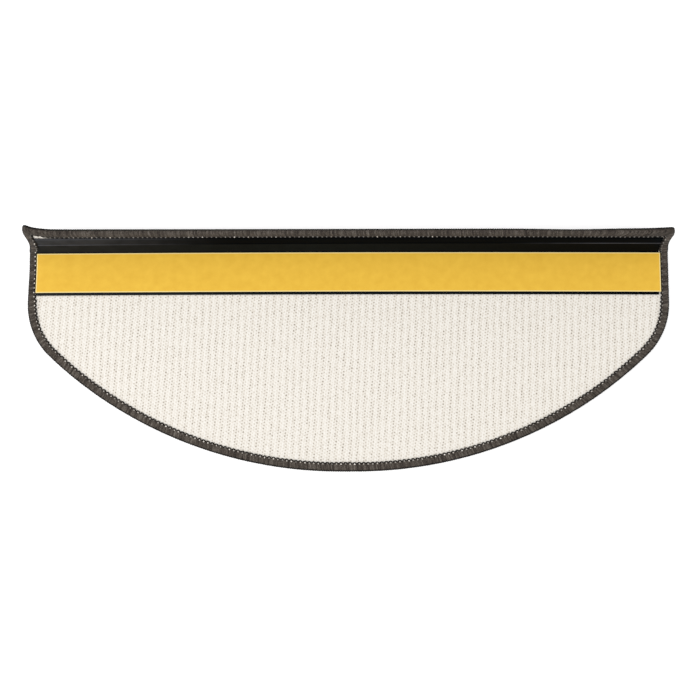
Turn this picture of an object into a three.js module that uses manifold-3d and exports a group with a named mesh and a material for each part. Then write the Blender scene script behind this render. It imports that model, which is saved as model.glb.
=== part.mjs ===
// Anti slip stair tread mat, half round, lying on its pile with the nose flap folded up.
// Millimetres. +X runs along the nose, +Y towards the nose, +Z up out of the backing.

import * as THREE from 'three';
import { mergeVertices } from 'three/addons/utils/BufferGeometryUtils.js';
import Module from 'manifold-3d';

const wasm = await Module();
wasm.setup();

// Outline, measured to the outside of the edge binding
const matWidth = 650;
const treadDepth = 221; // from the fold to the rounded edge
const sideStraight = 50.5; // straight run of each side, next to the fold
const shoulderRadius = 74; // round from each side into the rounded edge
const frontStraight = 16.6; // short straight run in the middle of the rounded edge
const flapLean = 18; // degrees that the flap leans back past upright
const earRiseLeft = 6; // the flap's corners stand up past its edge
const earRiseRight = 3;
const earFlare = 1.5; // and a little out to the side
const earLength = 34; // run over which a corner rises

// Carpet
const pileThickness = 3.8;
const backingThickness = 1.4;
const groovePitch = 7.2; // the backing's sunk stitch rows run from nose to rounded edge
const grooveWidth = 1.6;
const grooveDepth = 0.45;

// Overlocked yarn binding
const bindingWidth = 9; // how far the yarn reaches in from the outside
const yarnThickness = 1.1;
const wrapPitch = 9.2; // one ridge holds two passes of yarn
const wrapRelief = 0.4; // a ridge stands this far above the valley beside it
const scallop = 1; // the inner edge steps back this far between ridges
const yarnRounding = 1.9; // the yarn turns round the carpet's edge
const cornerEase = 0.6; // inner radius of the binding at the flap's corners

// Angle profile that hooks over the stair's nose
const profileWall = 1.6;
const profileRadius = 1; // inside the angle
const flatLeg = 42.7; // from the fold to the free edge
const uprightLeg = 27.5; // from the fold to the free edge
const profileEndGap = 0.4; // to the binding at each end
const legGap = 1; // from the upright leg to the binding above it
const beadPlace = 15.5; // height of the small bead along the upright leg
const beadWidth = 1.4;
const beadHeight = 0.5;
const edgeBreak = 0.4; // chamfer along the profile's free edges

// Self adhesive tape and its liner
const tapeThickness = 0.8;
const tapeWidth = 39.5;
const tapeSetback = 0.2; // from the angle's round
const tapeEndInset = 0.6; // from each end of the profile
const linerThickness = 0.3;
const linerMargin = 0.45; // the liner is wider than the tape by this on each side
const linerTabLeft = 2; // the liner reaches past the tape's ends
const linerTabRight = 1.3;

// Fit
const clearance = 0.3; // between yarn and carpet, and between layers on the flap

// How finely the rounds are stepped, and how far a cutting solid reaches past what it cuts
const foldSteps = 4;
const cornerSteps = 6;
const sideMarks = 8;
const edgeMarks = 60;
const arcSegments = 12;
const trimReach = 40;

// Sizes that follow from the ones above
const halfWidth = matWidth / 2;
const backingTop = pileThickness + backingThickness;
const rimBottom = yarnThickness + clearance; // the pile is pressed in under the yarn
const slotTop = backingTop + clearance;
const bindingTop = slotTop + yarnThickness;
const foldAngle = THREE.MathUtils.degToRad(90 - flapLean);
const foldRadius = backingTop + profileWall + profileRadius; // of the pile's outer face
const foldLength = (foldRadius - bindingTop / 2) * foldAngle; // along the middle of the carpet
const flapLength = uprightLeg + legGap + bindingWidth;
const cornerRadius = bindingWidth + cornerEase;
const layerShift = clearance / Math.sin(foldAngle); // opens the gap between layers on the flap
const profileLength = matWidth - 2 * (bindingWidth + profileEndGap);

// The rounded edge is a wide arc between two shoulder arcs, all tangent to each other
const acrossArcs = halfWidth - frontStraight / 2 - shoulderRadius;
const alongArcs = treadDepth - sideStraight - shoulderRadius;
const wideAngle = 2 * Math.atan2(alongArcs, acrossArcs);
const wideRadius = shoulderRadius + acrossArcs / Math.sin(wideAngle);

// Turns a place on the unfolded mat (x across, s towards the nose, h up from the pile's face)
// into a place on the folded one. The shift moves the folded part away from the layer inside it.
function folded(x, s, h, shift) {
  if (s < 0) return new THREE.Vector3(x, s, h);
  const angle = foldAngle * Math.min(s / foldLength, 1);
  const along = Math.max(s - foldLength, 0);
  const radius = foldRadius - h;
  return new THREE.Vector3(
    x,
    shift + radius * Math.sin(angle) + along * Math.cos(foldAngle),
    foldRadius - radius * Math.cos(angle) + along * Math.sin(foldAngle),
  );
}

// Moves a place on the flap (along is its distance from the fold) by the rise of the corners
function withEars(x, along) {
  if (along <= 0) return new THREE.Vector2(x, along);
  const up = (along / flapLength) ** 2;
  const near = Math.max(0, 1 - (halfWidth - Math.abs(x)) / earLength) ** 2;
  const rise = x < 0 ? earRiseLeft : earRiseRight;
  return new THREE.Vector2(x + Math.sign(x) * earFlare * up * near, along + rise * up * near);
}

// Half of the mat's outline in runs, from the middle of the rounded edge to the middle of the
// flap's edge. Each run gives its length and, at 0 to 1 along it, the place and outward direction.
function outlineRuns() {
  const straight = (x0, s0, x1, s1) => {
    const run = new THREE.Vector2(x1 - x0, s1 - s0);
    const out = new THREE.Vector2(run.y, -run.x).normalize();
    return {
      length: run.length(),
      at: (u) => ({ place: new THREE.Vector2(x0, s0).addScaledVector(run, u), out }),
    };
  };
  const arc = (x, s, radius, from, to) => ({
    length: radius * (to - from),
    at: (u) => {
      const angle = from + (to - from) * u;
      const out = new THREE.Vector2(Math.sin(angle), -Math.cos(angle));
      return { place: new THREE.Vector2(x, s).addScaledVector(out, radius), out };
    },
  });
  const quarter = Math.PI / 2;
  const flapEnd = foldLength + flapLength;
  const cornerAt = [halfWidth - cornerRadius, flapEnd - cornerRadius];
  return [
    straight(0, -treadDepth, frontStraight / 2, -treadDepth),
    arc(frontStraight / 2, wideRadius - treadDepth, wideRadius, 0, wideAngle),
    arc(halfWidth - shoulderRadius, -sideStraight, shoulderRadius, wideAngle, quarter),
    straight(halfWidth, -sideStraight, halfWidth, 0),
    { ...straight(halfWidth, 0, halfWidth, foldLength), steps: foldSteps },
    straight(halfWidth, foldLength, halfWidth, flapEnd - cornerRadius),
    { ...arc(...cornerAt, cornerRadius, quarter, Math.PI), steps: cornerSteps },
    straight(halfWidth - cornerRadius, flapEnd, 0, flapEnd),
  ];
}

// Stations right round the outline, ridge and valley in turn
function bindingStations() {
  const half = [];
  for (const run of outlineRuns()) {
    const steps = run.steps ?? 2 * Math.max(1, Math.round(run.length / wrapPitch));
    for (let i = 0; i < steps; i++) half.push({ ...run.at(i / steps), ridge: i % 2 === 0 });
  }
  const last = { ...outlineRuns().at(-1).at(1), ridge: true };
  const mirrored = ({ place, out, ridge }) => ({
    place: new THREE.Vector2(-place.x, place.y),
    out: new THREE.Vector2(-out.x, out.y),
    ridge,
  });
  return [...half, last, ...half.slice(1).reverse().map(mirrored)];
}

// Section of the yarn round the carpet's edge, as [outward, up] points: a C open to the inside
function yarnSection(ridge) {
  const sink = ridge ? 0 : wrapRelief;
  const tip = -(bindingWidth - (ridge ? 0 : scallop));
  const tipRound = yarnThickness / 2;
  return [
    [tip, yarnThickness],
    [tip + tipRound, sink],
    [-yarnRounding, sink],
    [-sink, yarnRounding],
    [-sink, bindingTop - yarnRounding],
    [-yarnRounding, bindingTop - sink],
    [tip + tipRound, bindingTop - sink],
    [tip, slotTop],
    [-yarnThickness - wrapRelief, slotTop],
    [-yarnThickness - wrapRelief, yarnThickness],
  ];
}

// Solid made by a closed loop of equal rings
function closedLoop(rings) {
  const count = rings[0].length;
  const index = [];
  rings.forEach((_, i) => {
    const here = i * count;
    const next = ((i + 1) % rings.length) * count;
    for (let j = 0; j < count; j++) {
      const k = (j + 1) % count;
      index.push(here + j, next + j, here + k, next + j, next + k, here + k);
    }
  });
  const geometry = new THREE.BufferGeometry().setFromPoints(rings.flat());
  geometry.setIndex(index);
  return geometry;
}

function edgeBinding() {
  const rings = bindingStations().map(({ place, out, ridge }) =>
    yarnSection(ridge).map(([outward, h]) => {
      const x = place.x + outward * out.x;
      const s = place.y + outward * out.y;
      const eared = withEars(x, s - foldLength);
      const shift = h < pileThickness ? layerShift : 0;
      return folded(eared.x, eared.y + foldLength, h, shift);
    }),
  );
  return closedLoop(rings);
}

// A layer of the carpet: its section across the mat is carried from past the rounded edge,
// round the fold and up past the flap's edge
function layer(section, shift) {
  const flapEnd = foldLength + flapLength + trimReach;
  const stations = [-treadDepth - trimReach];
  for (let i = 0; i <= foldSteps; i++) stations.push((foldLength * i) / foldSteps);
  stations.push(flapEnd);
  const steps = stations.length - 1;
  const geometry = new THREE.ExtrudeGeometry(new THREE.Shape(section), {
    depth: steps,
    steps,
    bevelEnabled: false,
  });
  const position = geometry.attributes.position;
  for (let i = 0; i < position.count; i++) {
    const s = stations[Math.round(position.getZ(i))];
    const place = folded(position.getX(i), s, position.getY(i), shift);
    // the section's up becomes z and its run becomes y, so x is mirrored to keep the faces outward
    position.setXYZ(i, -place.x, place.y, place.z);
  }
  return geometry;
}

// Section of a plain layer from one height to another
function plainSection(low, high) {
  const reach = halfWidth + trimReach;
  return [
    new THREE.Vector2(-reach, low),
    new THREE.Vector2(reach, low),
    new THREE.Vector2(reach, high),
    new THREE.Vector2(-reach, high),
  ];
}

// Section of the backing, with a V groove at each row of stitches
function groovedSection() {
  const [leftLow, rightLow, rightHigh, leftHigh] = plainSection(pileThickness, backingTop);
  const perSide = Math.floor((halfWidth - bindingWidth) / groovePitch);
  const grooves = [];
  for (let i = perSide; i >= -perSide; i--) {
    const x = i * groovePitch;
    grooves.push(
      new THREE.Vector2(x + grooveWidth / 2, backingTop),
      new THREE.Vector2(x, backingTop - grooveDepth),
      new THREE.Vector2(x - grooveWidth / 2, backingTop),
    );
  }
  return [leftLow, rightLow, rightHigh, ...grooves, leftHigh];
}

// Prism that cuts the tread to the mat's outline, inset by a distance. It opens out past the
// fold, where the flap's own prism takes over.
function treadPrism(inset) {
  const x = halfWidth - inset;
  const wide = halfWidth + 2 * trimReach;
  const shape = new THREE.Shape();
  shape.moveTo(-frontStraight / 2, inset - treadDepth);
  shape.lineTo(frontStraight / 2, inset - treadDepth);
  const wideTurn = wideAngle - Math.PI / 2;
  const wideCentre = wideRadius - treadDepth;
  const shoulder = halfWidth - shoulderRadius;
  shape.absarc(frontStraight / 2, wideCentre, wideRadius - inset, -Math.PI / 2, wideTurn, false);
  shape.absarc(shoulder, -sideStraight, shoulderRadius - inset, wideTurn, 0, false);
  shape.lineTo(x, -clearance);
  shape.lineTo(wide, -clearance);
  shape.lineTo(wide, flapLength + trimReach);
  shape.lineTo(-wide, flapLength + trimReach);
  shape.lineTo(-wide, -clearance);
  shape.lineTo(-x, -clearance);
  shape.absarc(-shoulder, -sideStraight, shoulderRadius - inset, Math.PI, Math.PI - wideTurn, false);
  const backTurn = [Math.PI - wideTurn, 1.5 * Math.PI];
  shape.absarc(-frontStraight / 2, wideCentre, wideRadius - inset, ...backTurn, false);
  const depth = flapLength + 2 * trimReach;
  const options = { depth, curveSegments: arcSegments, bevelEnabled: false };
  const geometry = new THREE.ExtrudeGeometry(shape, options);
  return geometry.translate(0, 0, -trimReach);
}

// Prism that cuts the flap to its outline with the corners' rise, inset by a distance
function flapPrism(inset) {
  const [side, corner, edge] = outlineRuns().slice(-3);
  const marks = [];
  for (const [run, steps] of [[side, sideMarks], [corner, cornerSteps], [edge, edgeMarks]]) {
    for (let i = 0; i < steps; i++) marks.push(run.at(i / steps));
  }
  const right = marks.map(({ place, out }) => {
    const x = place.x - inset * out.x;
    return [x, place.y - inset * out.y - foldLength];
  });
  const left = right.map(([x, along]) => [-x, along]).reverse();
  const low = -treadDepth;
  const shape = new THREE.Shape([
    new THREE.Vector2(halfWidth - inset, low),
    ...right.map(([x, along]) => withEars(x, along)),
    ...left.map(([x, along]) => withEars(x, along)),
    new THREE.Vector2(inset - halfWidth, low),
  ]);
  const depth = treadDepth + 2 * trimReach;
  const geometry = new THREE.ExtrudeGeometry(shape, { depth, bevelEnabled: false });
  geometry.translate(0, 0, -trimReach);
  const up = new THREE.Vector3(0, Math.cos(foldAngle), Math.sin(foldAngle));
  const inward = new THREE.Vector3(0, -Math.sin(foldAngle), Math.cos(foldAngle));
  geometry.applyMatrix4(new THREE.Matrix4().makeBasis(new THREE.Vector3(1, 0, 0), up, inward));
  return geometry.translate(0, layerShift, foldRadius);
}

// A closed mesh as a solid that can be joined and cut
function solid(geometry) {
  const bare = geometry.clone();
  bare.deleteAttribute('normal');
  bare.deleteAttribute('uv');
  const merged = mergeVertices(bare);
  return new wasm.Manifold(
    new wasm.Mesh({
      numProp: 3,
      vertProperties: new Float32Array(merged.attributes.position.array),
      triVerts: new Uint32Array(merged.index.array),
    }),
  );
}

// A solid's surface as three.js geometry
function surface(body) {
  const { vertProperties, triVerts } = body.getMesh();
  const geometry = new THREE.BufferGeometry();
  geometry.setAttribute('position', new THREE.BufferAttribute(vertProperties, 3));
  geometry.setIndex(new THREE.BufferAttribute(triVerts, 1));
  return geometry;
}

// A layer cut to the mat's outline
function cutLayer(section, shift, inset) {
  return solid(layer(section, shift))
    .intersect(solid(treadPrism(inset)))
    .intersect(solid(flapPrism(inset)));
}

const carpetInset = yarnThickness + wrapRelief + clearance;

function pileFace() {
  const rim = cutLayer(plainSection(rimBottom, pileThickness), layerShift, carpetInset);
  const field = cutLayer(plainSection(0, pileThickness), layerShift, bindingWidth + clearance);
  return surface(rim.add(field));
}

function backingCloth() {
  return surface(cutLayer(groovedSection(), 0, carpetInset));
}

// Section of the angle in the plane across the nose, as [towards the nose, up] points
function angleSection() {
  const low = backingTop;
  const high = backingTop + profileWall;
  const up = new THREE.Vector2(Math.cos(foldAngle), Math.sin(foldAngle));
  const inward = new THREE.Vector2(-Math.sin(foldAngle), Math.cos(foldAngle));
  const centre = new THREE.Vector2(0, foldRadius);
  const onLeg = (along, inside) =>
    centre.clone().addScaledVector(up, along).addScaledVector(inward, inside - profileRadius);
  const round = (radius, from, to) =>
    Array.from({ length: foldSteps + 1 }, (_, i) => {
      const angle = from + ((to - from) * i) / foldSteps;
      return new THREE.Vector2(Math.sin(angle) * radius, foldRadius - Math.cos(angle) * radius);
    });
  return [
    new THREE.Vector2(-flatLeg, high - edgeBreak),
    new THREE.Vector2(-flatLeg, low),
    ...round(profileRadius + profileWall, 0, foldAngle),
    onLeg(uprightLeg, -profileWall),
    onLeg(uprightLeg, -edgeBreak),
    onLeg(uprightLeg - edgeBreak, 0),
    onLeg(beadPlace + beadWidth / 2, 0),
    onLeg(beadPlace + beadWidth / 4, beadHeight),
    onLeg(beadPlace - beadWidth / 4, beadHeight),
    onLeg(beadPlace - beadWidth / 2, 0),
    ...round(profileRadius, foldAngle, 0),
    new THREE.Vector2(edgeBreak - flatLeg, high),
  ];
}

function angleProfile() {
  const section = new THREE.Shape(angleSection());
  const geometry = new THREE.ExtrudeGeometry(section, { depth: profileLength, bevelEnabled: false });
  const [x, y, z] = [new THREE.Vector3(1, 0, 0), new THREE.Vector3(0, 1, 0), new THREE.Vector3(0, 0, 1)];
  geometry.applyMatrix4(new THREE.Matrix4().makeBasis(y, z, x));
  return geometry.translate(-profileLength / 2, -layerShift, 0);
}

// A named piece with its colour and finish
function piece(name, geometry, color, roughness) {
  const material = new THREE.MeshStandardMaterial({ color, roughness, metalness: 0 });
  const mesh = new THREE.Mesh(geometry, material);
  mesh.name = name;
  return mesh;
}

function adhesiveTape() {
  const length = profileLength - 2 * tapeEndInset;
  const geometry = new THREE.BoxGeometry(length, tapeWidth, tapeThickness);
  const tape = piece('adhesive_tape', geometry, 0xe8e4d8, 0.6);
  tape.position.set(0, -layerShift - tapeSetback - tapeWidth / 2, tapeThickness / 2);
  return tape;
}

function releaseLiner() {
  const tapeEnd = profileLength / 2 - tapeEndInset;
  const left = -tapeEnd - linerTabLeft;
  const right = tapeEnd + linerTabRight;
  const width = tapeWidth + 2 * linerMargin;
  const geometry = new THREE.BoxGeometry(right - left, width, linerThickness);
  const liner = piece('release_liner', geometry, 0xe8ba45, 0.45);
  const y = -layerShift - tapeSetback - tapeWidth / 2;
  liner.position.set((left + right) / 2, y, tapeThickness + linerThickness / 2);
  return liner;
}

// Tape and liner, on top of the profile's flat leg
function adhesiveStrip() {
  const strip = new THREE.Group();
  strip.add(adhesiveTape(), releaseLiner());
  strip.position.z = backingTop + profileWall;
  return strip;
}

const mat = new THREE.Group();
mat.add(
  piece('pile_face', pileFace(), 0x45423f, 0.95),
  piece('backing_cloth', backingCloth(), 0xf0eae1, 0.9),
  piece('edge_binding', edgeBinding(), 0x5c5752, 0.9),
  piece('angle_profile', angleProfile(), 0x161618, 0.4),
  adhesiveStrip(),
);

// The origin is the middle of the mat's footprint, on the surface that it lies on
const extent = new THREE.Box3().setFromObject(mat);
const middle = extent.getCenter(new THREE.Vector3());
mat.position.set(-middle.x, -middle.y, -extent.min.z);

const part = new THREE.Group();
part.add(mat);

export default part;
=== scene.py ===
"""Looks of the anti slip stair tread mat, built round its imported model.

The mat lies on its pile with the backing up and the nose flap folded up, and the camera looks
down on it. Sizes are in metres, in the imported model's frame: +X along the nose, +Y towards the
nose, +Z up.
"""

import logging
import math
from collections.abc import Callable, Sequence
from dataclasses import dataclass, field
from enum import Enum
from functools import cached_property, partial

import bmesh
import bpy
from mathutils import Matrix, Vector, noise


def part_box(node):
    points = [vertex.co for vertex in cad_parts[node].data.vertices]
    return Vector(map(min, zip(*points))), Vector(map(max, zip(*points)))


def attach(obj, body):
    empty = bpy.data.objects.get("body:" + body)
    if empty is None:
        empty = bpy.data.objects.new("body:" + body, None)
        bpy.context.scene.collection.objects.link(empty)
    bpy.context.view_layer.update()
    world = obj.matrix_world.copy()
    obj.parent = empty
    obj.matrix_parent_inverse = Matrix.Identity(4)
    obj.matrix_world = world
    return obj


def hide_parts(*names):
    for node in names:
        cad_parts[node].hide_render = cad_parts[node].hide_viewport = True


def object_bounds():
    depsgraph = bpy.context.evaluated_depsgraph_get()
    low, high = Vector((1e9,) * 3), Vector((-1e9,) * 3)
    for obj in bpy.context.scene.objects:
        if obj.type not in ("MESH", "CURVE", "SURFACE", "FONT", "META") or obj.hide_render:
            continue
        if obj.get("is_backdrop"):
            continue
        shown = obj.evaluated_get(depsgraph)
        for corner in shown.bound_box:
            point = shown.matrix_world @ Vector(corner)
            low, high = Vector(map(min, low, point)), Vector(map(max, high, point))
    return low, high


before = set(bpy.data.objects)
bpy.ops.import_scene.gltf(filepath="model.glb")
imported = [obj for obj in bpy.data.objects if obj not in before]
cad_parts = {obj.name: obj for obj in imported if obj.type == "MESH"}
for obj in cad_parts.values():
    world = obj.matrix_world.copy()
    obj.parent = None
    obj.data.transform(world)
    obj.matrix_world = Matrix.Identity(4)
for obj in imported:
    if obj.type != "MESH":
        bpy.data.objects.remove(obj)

LOG = logging.getLogger("stair_mat")
MM = 0.001
BODY = "root"
LAY = "lay"  # vertex attribute: where a point lies on the unfolded piece, in millimetres
SHADE = "shade"  # vertex attribute: how much of the yarn's colour is left under painted shade in hollows and along the edges, and the knots' tones
SHARP_ANGLE = math.radians(35)  # edges of hard pieces are creased past this
SEED = 7  # of the vector noise, which otherwise differs from run to run

Span = tuple[float, float]  # from one value to another


class Slot(Enum):
    """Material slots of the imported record."""

    PILE = "pile"
    BACKING = "backing"
    YARN = "yarn"
    PROFILE = "profile"
    TAPE = "tape"
    LINER = "liner"


def linear(colour: str) -> tuple[float, float, float, float]:
    """Turns an sRGB hex colour to linear.

    Args:
        colour: six hex digits, such as "EFE9DF".

    Returns:
        Red, green, blue and alpha, linear.
    """
    channels = [int(colour[i : i + 2], 16) / 255 for i in (0, 2, 4)]
    red, green, blue = (c / 12.92 if c <= 0.04045 else ((c + 0.055) / 1.055) ** 2.4 for c in channels)
    return red, green, blue, 1.0


def smooth_step(value: float, low: float, high: float) -> float:
    """Rises smoothly from 0 at low to 1 at high."""
    share = max(0.0, min(1.0, (value - low) / (high - low)))
    return share * share * (3 - 2 * share)


def window(value: float, rising: Span, falling: Span) -> float:
    """Rises smoothly from 0 to 1 over one span and falls back to 0 over the other."""
    return smooth_step(value, *rising) * (1 - smooth_step(value, *falling))


def add_node(
    tree: bpy.types.NodeTree, kind: str, inputs: dict | None = None,
    stops: Sequence[tuple[float, str]] = (), **settings
) -> bpy.types.Node:
    """Adds a node with its settings and links.

    Args:
        tree: the node tree that it goes into.
        kind: the node's type, without the words that every shader node's type starts with.
        inputs: for each input, by name or number, a constant, or the socket or node that feeds it.
        stops: a colour ramp's places and sRGB hex colours.
        settings: the node's own properties.

    Returns:
        The new node.
    """
    node = tree.nodes.new("ShaderNode" + kind)
    for name, value in settings.items():
        setattr(node, name, value)
    for key, value in (inputs or {}).items():
        source = value.outputs[0] if isinstance(value, bpy.types.Node) else value
        if isinstance(source, bpy.types.NodeSocket):
            tree.links.new(source, node.inputs[key])
        else:
            node.inputs[key].default_value = source
    for index, (place, colour) in enumerate(stops):
        elements = node.color_ramp.elements
        element = elements[index] if index < len(elements) else elements.new(1.0)
        element.position = place
        element.color = linear(colour)
    return node


# The mat's shape


@dataclass(frozen=True)
class StraightRun:
    """Straight part of the outline, from one place to another."""

    x0: float
    s0: float
    x1: float
    s1: float

    @property
    def length(self) -> float:
        """Length of the run."""
        return math.hypot(self.x1 - self.x0, self.s1 - self.s0)

    def at(self, distance: float) -> tuple[float, float, float, float]:
        """Place (x, s) and outward direction at a distance along the run."""
        ahead_x, ahead_s = (self.x1 - self.x0) / self.length, (self.s1 - self.s0) / self.length
        return self.x0 + ahead_x * distance, self.s0 + ahead_s * distance, ahead_s, -ahead_x


@dataclass(frozen=True)
class ArcRun:
    """Round part of the outline. Its angle is 0 towards the rounded edge and grows towards the side."""

    x: float
    s: float
    radius: float
    start: float
    end: float

    @property
    def length(self) -> float:
        """Length of the run."""
        return self.radius * (self.end - self.start)

    def at(self, distance: float) -> tuple[float, float, float, float]:
        """Works out a place on the run.

        Args:
            distance: how far along the run it is.

        Returns:
            Its x and s, and the outward direction's x and s.
        """
        angle = self.start + distance / self.radius
        out_x, out_s = math.sin(angle), -math.cos(angle)
        return self.x + out_x * self.radius, self.s + out_s * self.radius, out_x, out_s


@dataclass(frozen=True)
class Ear:
    """How one corner of the flap lies."""

    rise: float  # how far it stands up past the flap's edge
    pinch: float  # how far the side draws in below it
    flare: float  # how far its tip leans out
    curl: float  # how far it curls back


@dataclass(frozen=True)
class MatForm:
    """Outline, layers and fold of the mat, shared by all its pieces.

    A place on the unfolded mat is x across, s towards the nose from the fold's start, and h up
    from the pile's face. A place on the binding is t along the outline, from the middle of the
    rounded edge, then outward from the outline, and h.
    """

    nose_line: float  # y of the fold's start
    mat_width: float = 0.650
    tread_depth: float = 0.221
    side_straight: float = 0.0505
    shoulder_radius: float = 0.074
    front_straight: float = 0.0166
    flap_lean: float = math.radians(18)
    left_ear: Ear = Ear(rise=0.0112, pinch=0.0026, flare=0.0042, curl=0.0014)
    right_ear: Ear = Ear(rise=0.0042, pinch=0.0021, flare=0.0047, curl=0.0)
    ear_length: float = 0.034
    pinch_top: float = 0.8  # share of the flap's height above which the side flares out again
    pinch_fade: Span = (0.3, 1.0)  # shares of the ear's length over which the pinch fades inwards
    curl_fade: Span = (0.1, 0.45)  # the same for the curl
    flare_power: float = 1.6  # how late the side flares
    nose_bow: float = 0.0009  # how far the nose bows, from its ends to its middle
    bow_share: float = 0.7  # share of the bow by which its middle stands out
    nose_drift: float = 0.0005  # how far the nose lies to the right of the tread
    nose_fade: Span = (-0.130, -0.045)  # from the fold: where the bow and the drift come in
    front_spread: float = 0.0007  # how far the rounded edge spreads out as the mat lies flat
    left_spread: float = 0.0010  # the same for the tread's left side
    left_fade: Span = (-0.055, -0.012)  # from the fold: where the left side's spread goes out
    pile_thickness: float = 0.0038
    backing_thickness: float = 0.0014
    binding_width: float = 0.009
    yarn_thickness: float = 0.0011
    corner_ease: float = 0.0006
    profile_wall: float = 0.0016
    profile_radius: float = 0.001
    upright_leg: float = 0.0275
    leg_gap: float = 0.001
    clearance: float = 0.0003

    @property
    def half_width(self) -> float:
        """From the middle to a side."""
        return self.mat_width / 2

    @property
    def backing_top(self) -> float:
        """Height of the backing's face."""
        return self.pile_thickness + self.backing_thickness

    @property
    def binding_top(self) -> float:
        """Height of the yarn's top."""
        return self.backing_top + self.clearance + self.yarn_thickness

    @property
    def fold_angle(self) -> float:
        """How far the flap is folded up."""
        return math.pi / 2 - self.flap_lean

    @property
    def fold_radius(self) -> float:
        """Radius of the pile's face round the fold."""
        return self.backing_top + self.profile_wall + self.profile_radius

    @property
    def fold_length(self) -> float:
        """Length of the fold along the middle of the carpet."""
        return (self.fold_radius - self.binding_top / 2) * self.fold_angle

    @property
    def flap_length(self) -> float:
        """From the fold to the flap's edge."""
        return self.upright_leg + self.leg_gap + self.binding_width

    @property
    def flap_end(self) -> float:
        """Place of the flap's edge on the unfolded mat."""
        return self.fold_length + self.flap_length

    @property
    def corner_radius(self) -> float:
        """Round at the flap's corners."""
        return self.binding_width + self.corner_ease

    @property
    def layer_shift(self) -> float:
        """How far the flap's outer face stands off, so that its layers stay apart."""
        return self.clearance / math.sin(self.fold_angle)

    @property
    def wide_angle(self) -> float:
        """Half of the angle that the rounded edge's wide arc spans."""
        along = self.tread_depth - self.side_straight - self.shoulder_radius
        return 2 * math.atan2(along, self.shoulder_across)

    @property
    def shoulder_across(self) -> float:
        """From the end of the straight front to the middle of the shoulder's arc, across the mat."""
        return self.half_width - self.front_straight / 2 - self.shoulder_radius

    @property
    def wide_radius(self) -> float:
        """Radius of the rounded edge's wide arc."""
        return self.shoulder_radius + self.shoulder_across / math.sin(self.wide_angle)

    @cached_property
    def runs(self) -> tuple[StraightRun | ArcRun, ...]:
        """Right half of the outline.

        Returns:
            Its runs, from the rounded edge's middle to the flap edge's middle.
        """
        half, end, corner = self.half_width, self.flap_end, self.corner_radius
        front = self.front_straight / 2
        return (
            StraightRun(0, -self.tread_depth, front, -self.tread_depth),
            ArcRun(front, self.wide_radius - self.tread_depth, self.wide_radius, 0, self.wide_angle),
            ArcRun(half - self.shoulder_radius, -self.side_straight, self.shoulder_radius,
                   self.wide_angle, math.pi / 2),
            StraightRun(half, -self.side_straight, half, end - corner),
            ArcRun(half - corner, end - corner, corner, math.pi / 2, math.pi),
            StraightRun(half - corner, end, 0, end),
        )

    @cached_property
    def half_outline(self) -> float:
        """Length of the outline's right half."""
        return sum(run.length for run in self.runs)

    def edge(self, t: float) -> tuple[float, float, float, float]:
        """Place and outward direction on the outline.

        Args:
            t: distance along the outline, from the rounded edge's middle to the right.

        Returns:
            x, s, and the outward direction's x and s.
        """
        t %= 2 * self.half_outline
        side = 1 if t <= self.half_outline else -1
        left = t if side > 0 else 2 * self.half_outline - t
        for run in self.runs:
            if left <= run.length:
                break
            left -= run.length
        x, s, out_x, out_s = run.at(left)
        return side * x, s, side * out_x, out_s

    def folded(self, x: float, s: float, h: float) -> Vector:
        """Carries a place on the unfolded mat to its place on the folded one.

        Args:
            x: place across the mat.
            s: place along the mat.
            h: height above the pile's face.

        Returns:
            The place in the model's frame.
        """
        if s <= 0:
            return Vector((x, self.nose_line + s, h))
        angle = self.fold_angle * min(s / self.fold_length, 1)
        along = max(s - self.fold_length, 0)
        radius = self.fold_radius - h
        shift = self.layer_shift * (1 - h / self.backing_top) * min(s / self.fold_length, 1)
        y = shift + radius * math.sin(angle) + along * math.cos(self.fold_angle)
        z = self.fold_radius - radius * math.cos(angle) + along * math.sin(self.fold_angle)
        return Vector((x, self.nose_line + y, z))

    def settled(self, place: Vector) -> Vector:
        """Moves a place by the little that the mat bows, drifts and spreads as it lies.

        Args:
            place: the place on the folded mat.

        Returns:
            The place on the mat as it lies.
        """
        from_fold = place.y - self.nose_line
        near_nose = smooth_step(from_fold, *self.nose_fade)
        across = place.x / self.half_width
        bow = self.nose_bow * (self.bow_share - across**2)
        left = max(0.0, -across) ** 3 * (1 - smooth_step(from_fold, *self.left_fade))
        spread = Vector((-self.left_spread * left, -self.front_spread * (1 - near_nose), 0))
        return place + Vector((self.nose_drift, bow, 0)) * near_nose + spread

    def placed(self, x: float, s: float, h: float) -> Vector:
        """Carries an unfolded place to the mat as it lies, with the ears at the flap's corners.

        Args:
            x: place across the mat.
            s: place along the mat.
            h: height above the pile's face.

        Returns:
            The place in the model's frame.
        """
        up = min((s - self.fold_length) / self.flap_length, 1)
        if up <= 0:
            return self.settled(self.folded(x, s, h))
        ear = self.left_ear if x < 0 else self.right_ear
        inset = (self.half_width - abs(x)) / self.ear_length
        drawn_in = ear.pinch * max(0.0, math.sin(math.pi * up / self.pinch_top))
        leaned_out = ear.flare * max(0.0, (up - self.pinch_top) / (1 - self.pinch_top)) ** self.flare_power
        moved_in = (drawn_in - leaned_out) * (1 - smooth_step(inset, *self.pinch_fade))
        raised = ear.rise * up * up * max(0.0, 1 - inset) ** 2
        curl = ear.curl * smooth_step(up, 0.5, 1) * (1 - smooth_step(inset, *self.curl_fade))
        side = math.copysign(1, x)
        return self.settled(self.folded(x - side * moved_in, s + raised, h - curl))

    def bound(self, t: float, outward: float, h: float) -> Vector:
        """Carries a place on the binding to its place on the folded mat."""
        x, s, out_x, out_s = self.edge(t)
        return self.placed(x + outward * out_x, s + outward * out_s, h)

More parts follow.
